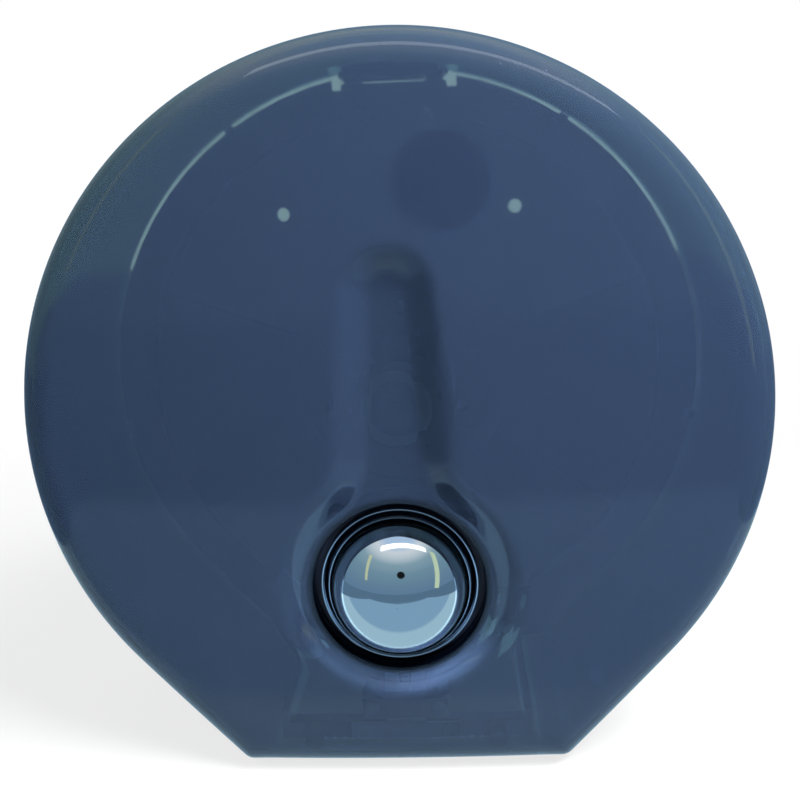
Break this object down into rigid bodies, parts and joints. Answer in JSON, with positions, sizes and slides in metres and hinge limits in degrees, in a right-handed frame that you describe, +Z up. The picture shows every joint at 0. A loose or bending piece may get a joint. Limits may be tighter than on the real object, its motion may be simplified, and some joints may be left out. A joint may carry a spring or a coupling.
{
  "type": "jumbo toilet roll dispenser",
  "caption": "Wall-mounted dispenser for one large paper roll: a smoked round cover hinged at the top, let go by a chromed dome push button.",
  "frame": {"origin": "the point where the spindle's axis meets the wall, on the flat back of the back plate", "axes": "+X to the right seen from the front, +Y into the wall, +Z up; the front faces -Y"},
  "size_m": [0.28, 0.136, 0.278],
  "materials": {
    "smoked_plastic": "gloss, smoked, see-through",
    "dark_plastic": "satin",
    "chrome": "polished",
    "steel": "satin",
    "nylon": "matt",
    "rubber": "matt"
  },
  "bodies": {
    "back_unit": {"back_plate": "dark_plastic", "hinge_bracket": "dark_plastic", "bracket_screws": "steel", "hinge_pin": "steel", "pin_clips": "steel", "spindle_base": "dark_plastic", "spindle_screws": "steel", "spindle_axle": "steel", "axle_washer": "steel", "axle_nut": "steel", "paper_chute": "dark_plastic", "chute_screws": "steel", "keeper_plate": "steel", "keeper_screws": "steel", "tear_bars": "steel", "tear_bar_rivets": "steel", "rubber_buffers": "rubber"},
    "cover": {"cover_shell": "smoked_plastic", "hinge_leaf": "dark_plastic", "lock_housing": "dark_plastic", "trim_ring": "chrome", "lock_back": "dark_plastic", "lock_screws": "steel", "latch_guide": "dark_plastic", "guide_screws": "steel", "button_spring": "steel", "latch_spring": "steel"},
    "button": {"button_dome": "chrome", "button_plunger": "dark_plastic"},
    "latch": {"latch_bar": "steel"},
    "hub": {"core_hub": "dark_plastic", "hub_bushes": "nylon"}
  },
  "joints": [
    {"name": "cover_hinge", "type": "hinge", "parent": "back_unit", "child": "cover", "pos_m": [0, -0.0055, 0.135], "axis": [-1, 0, 0], "range_deg": [0, 90]},
    {"name": "button_press", "type": "slide", "parent": "cover", "child": "button", "axis": [0, 1, 0], "range_m": [0, 0.004], "stiffness_N_per_m": 600, "springref_m": -0.008, "deforming": ["button_spring"]},
    {"name": "latch_lift", "type": "slide", "parent": "cover", "child": "latch", "axis": [0, 0, 1], "range_m": [0, 0.004], "stiffness_N_per_m": 100, "springref_m": -0.012, "deforming": ["latch_spring"]},
    {"name": "hub_spin", "type": "hinge", "parent": "back_unit", "child": "hub", "pos_m": [0, 0, 0], "axis": [0, 1, 0], "continuous": true}
  ],
  "couplings": [
    {"joint": "latch_lift", "follows": "button_press", "ratio": 1}
  ]
}
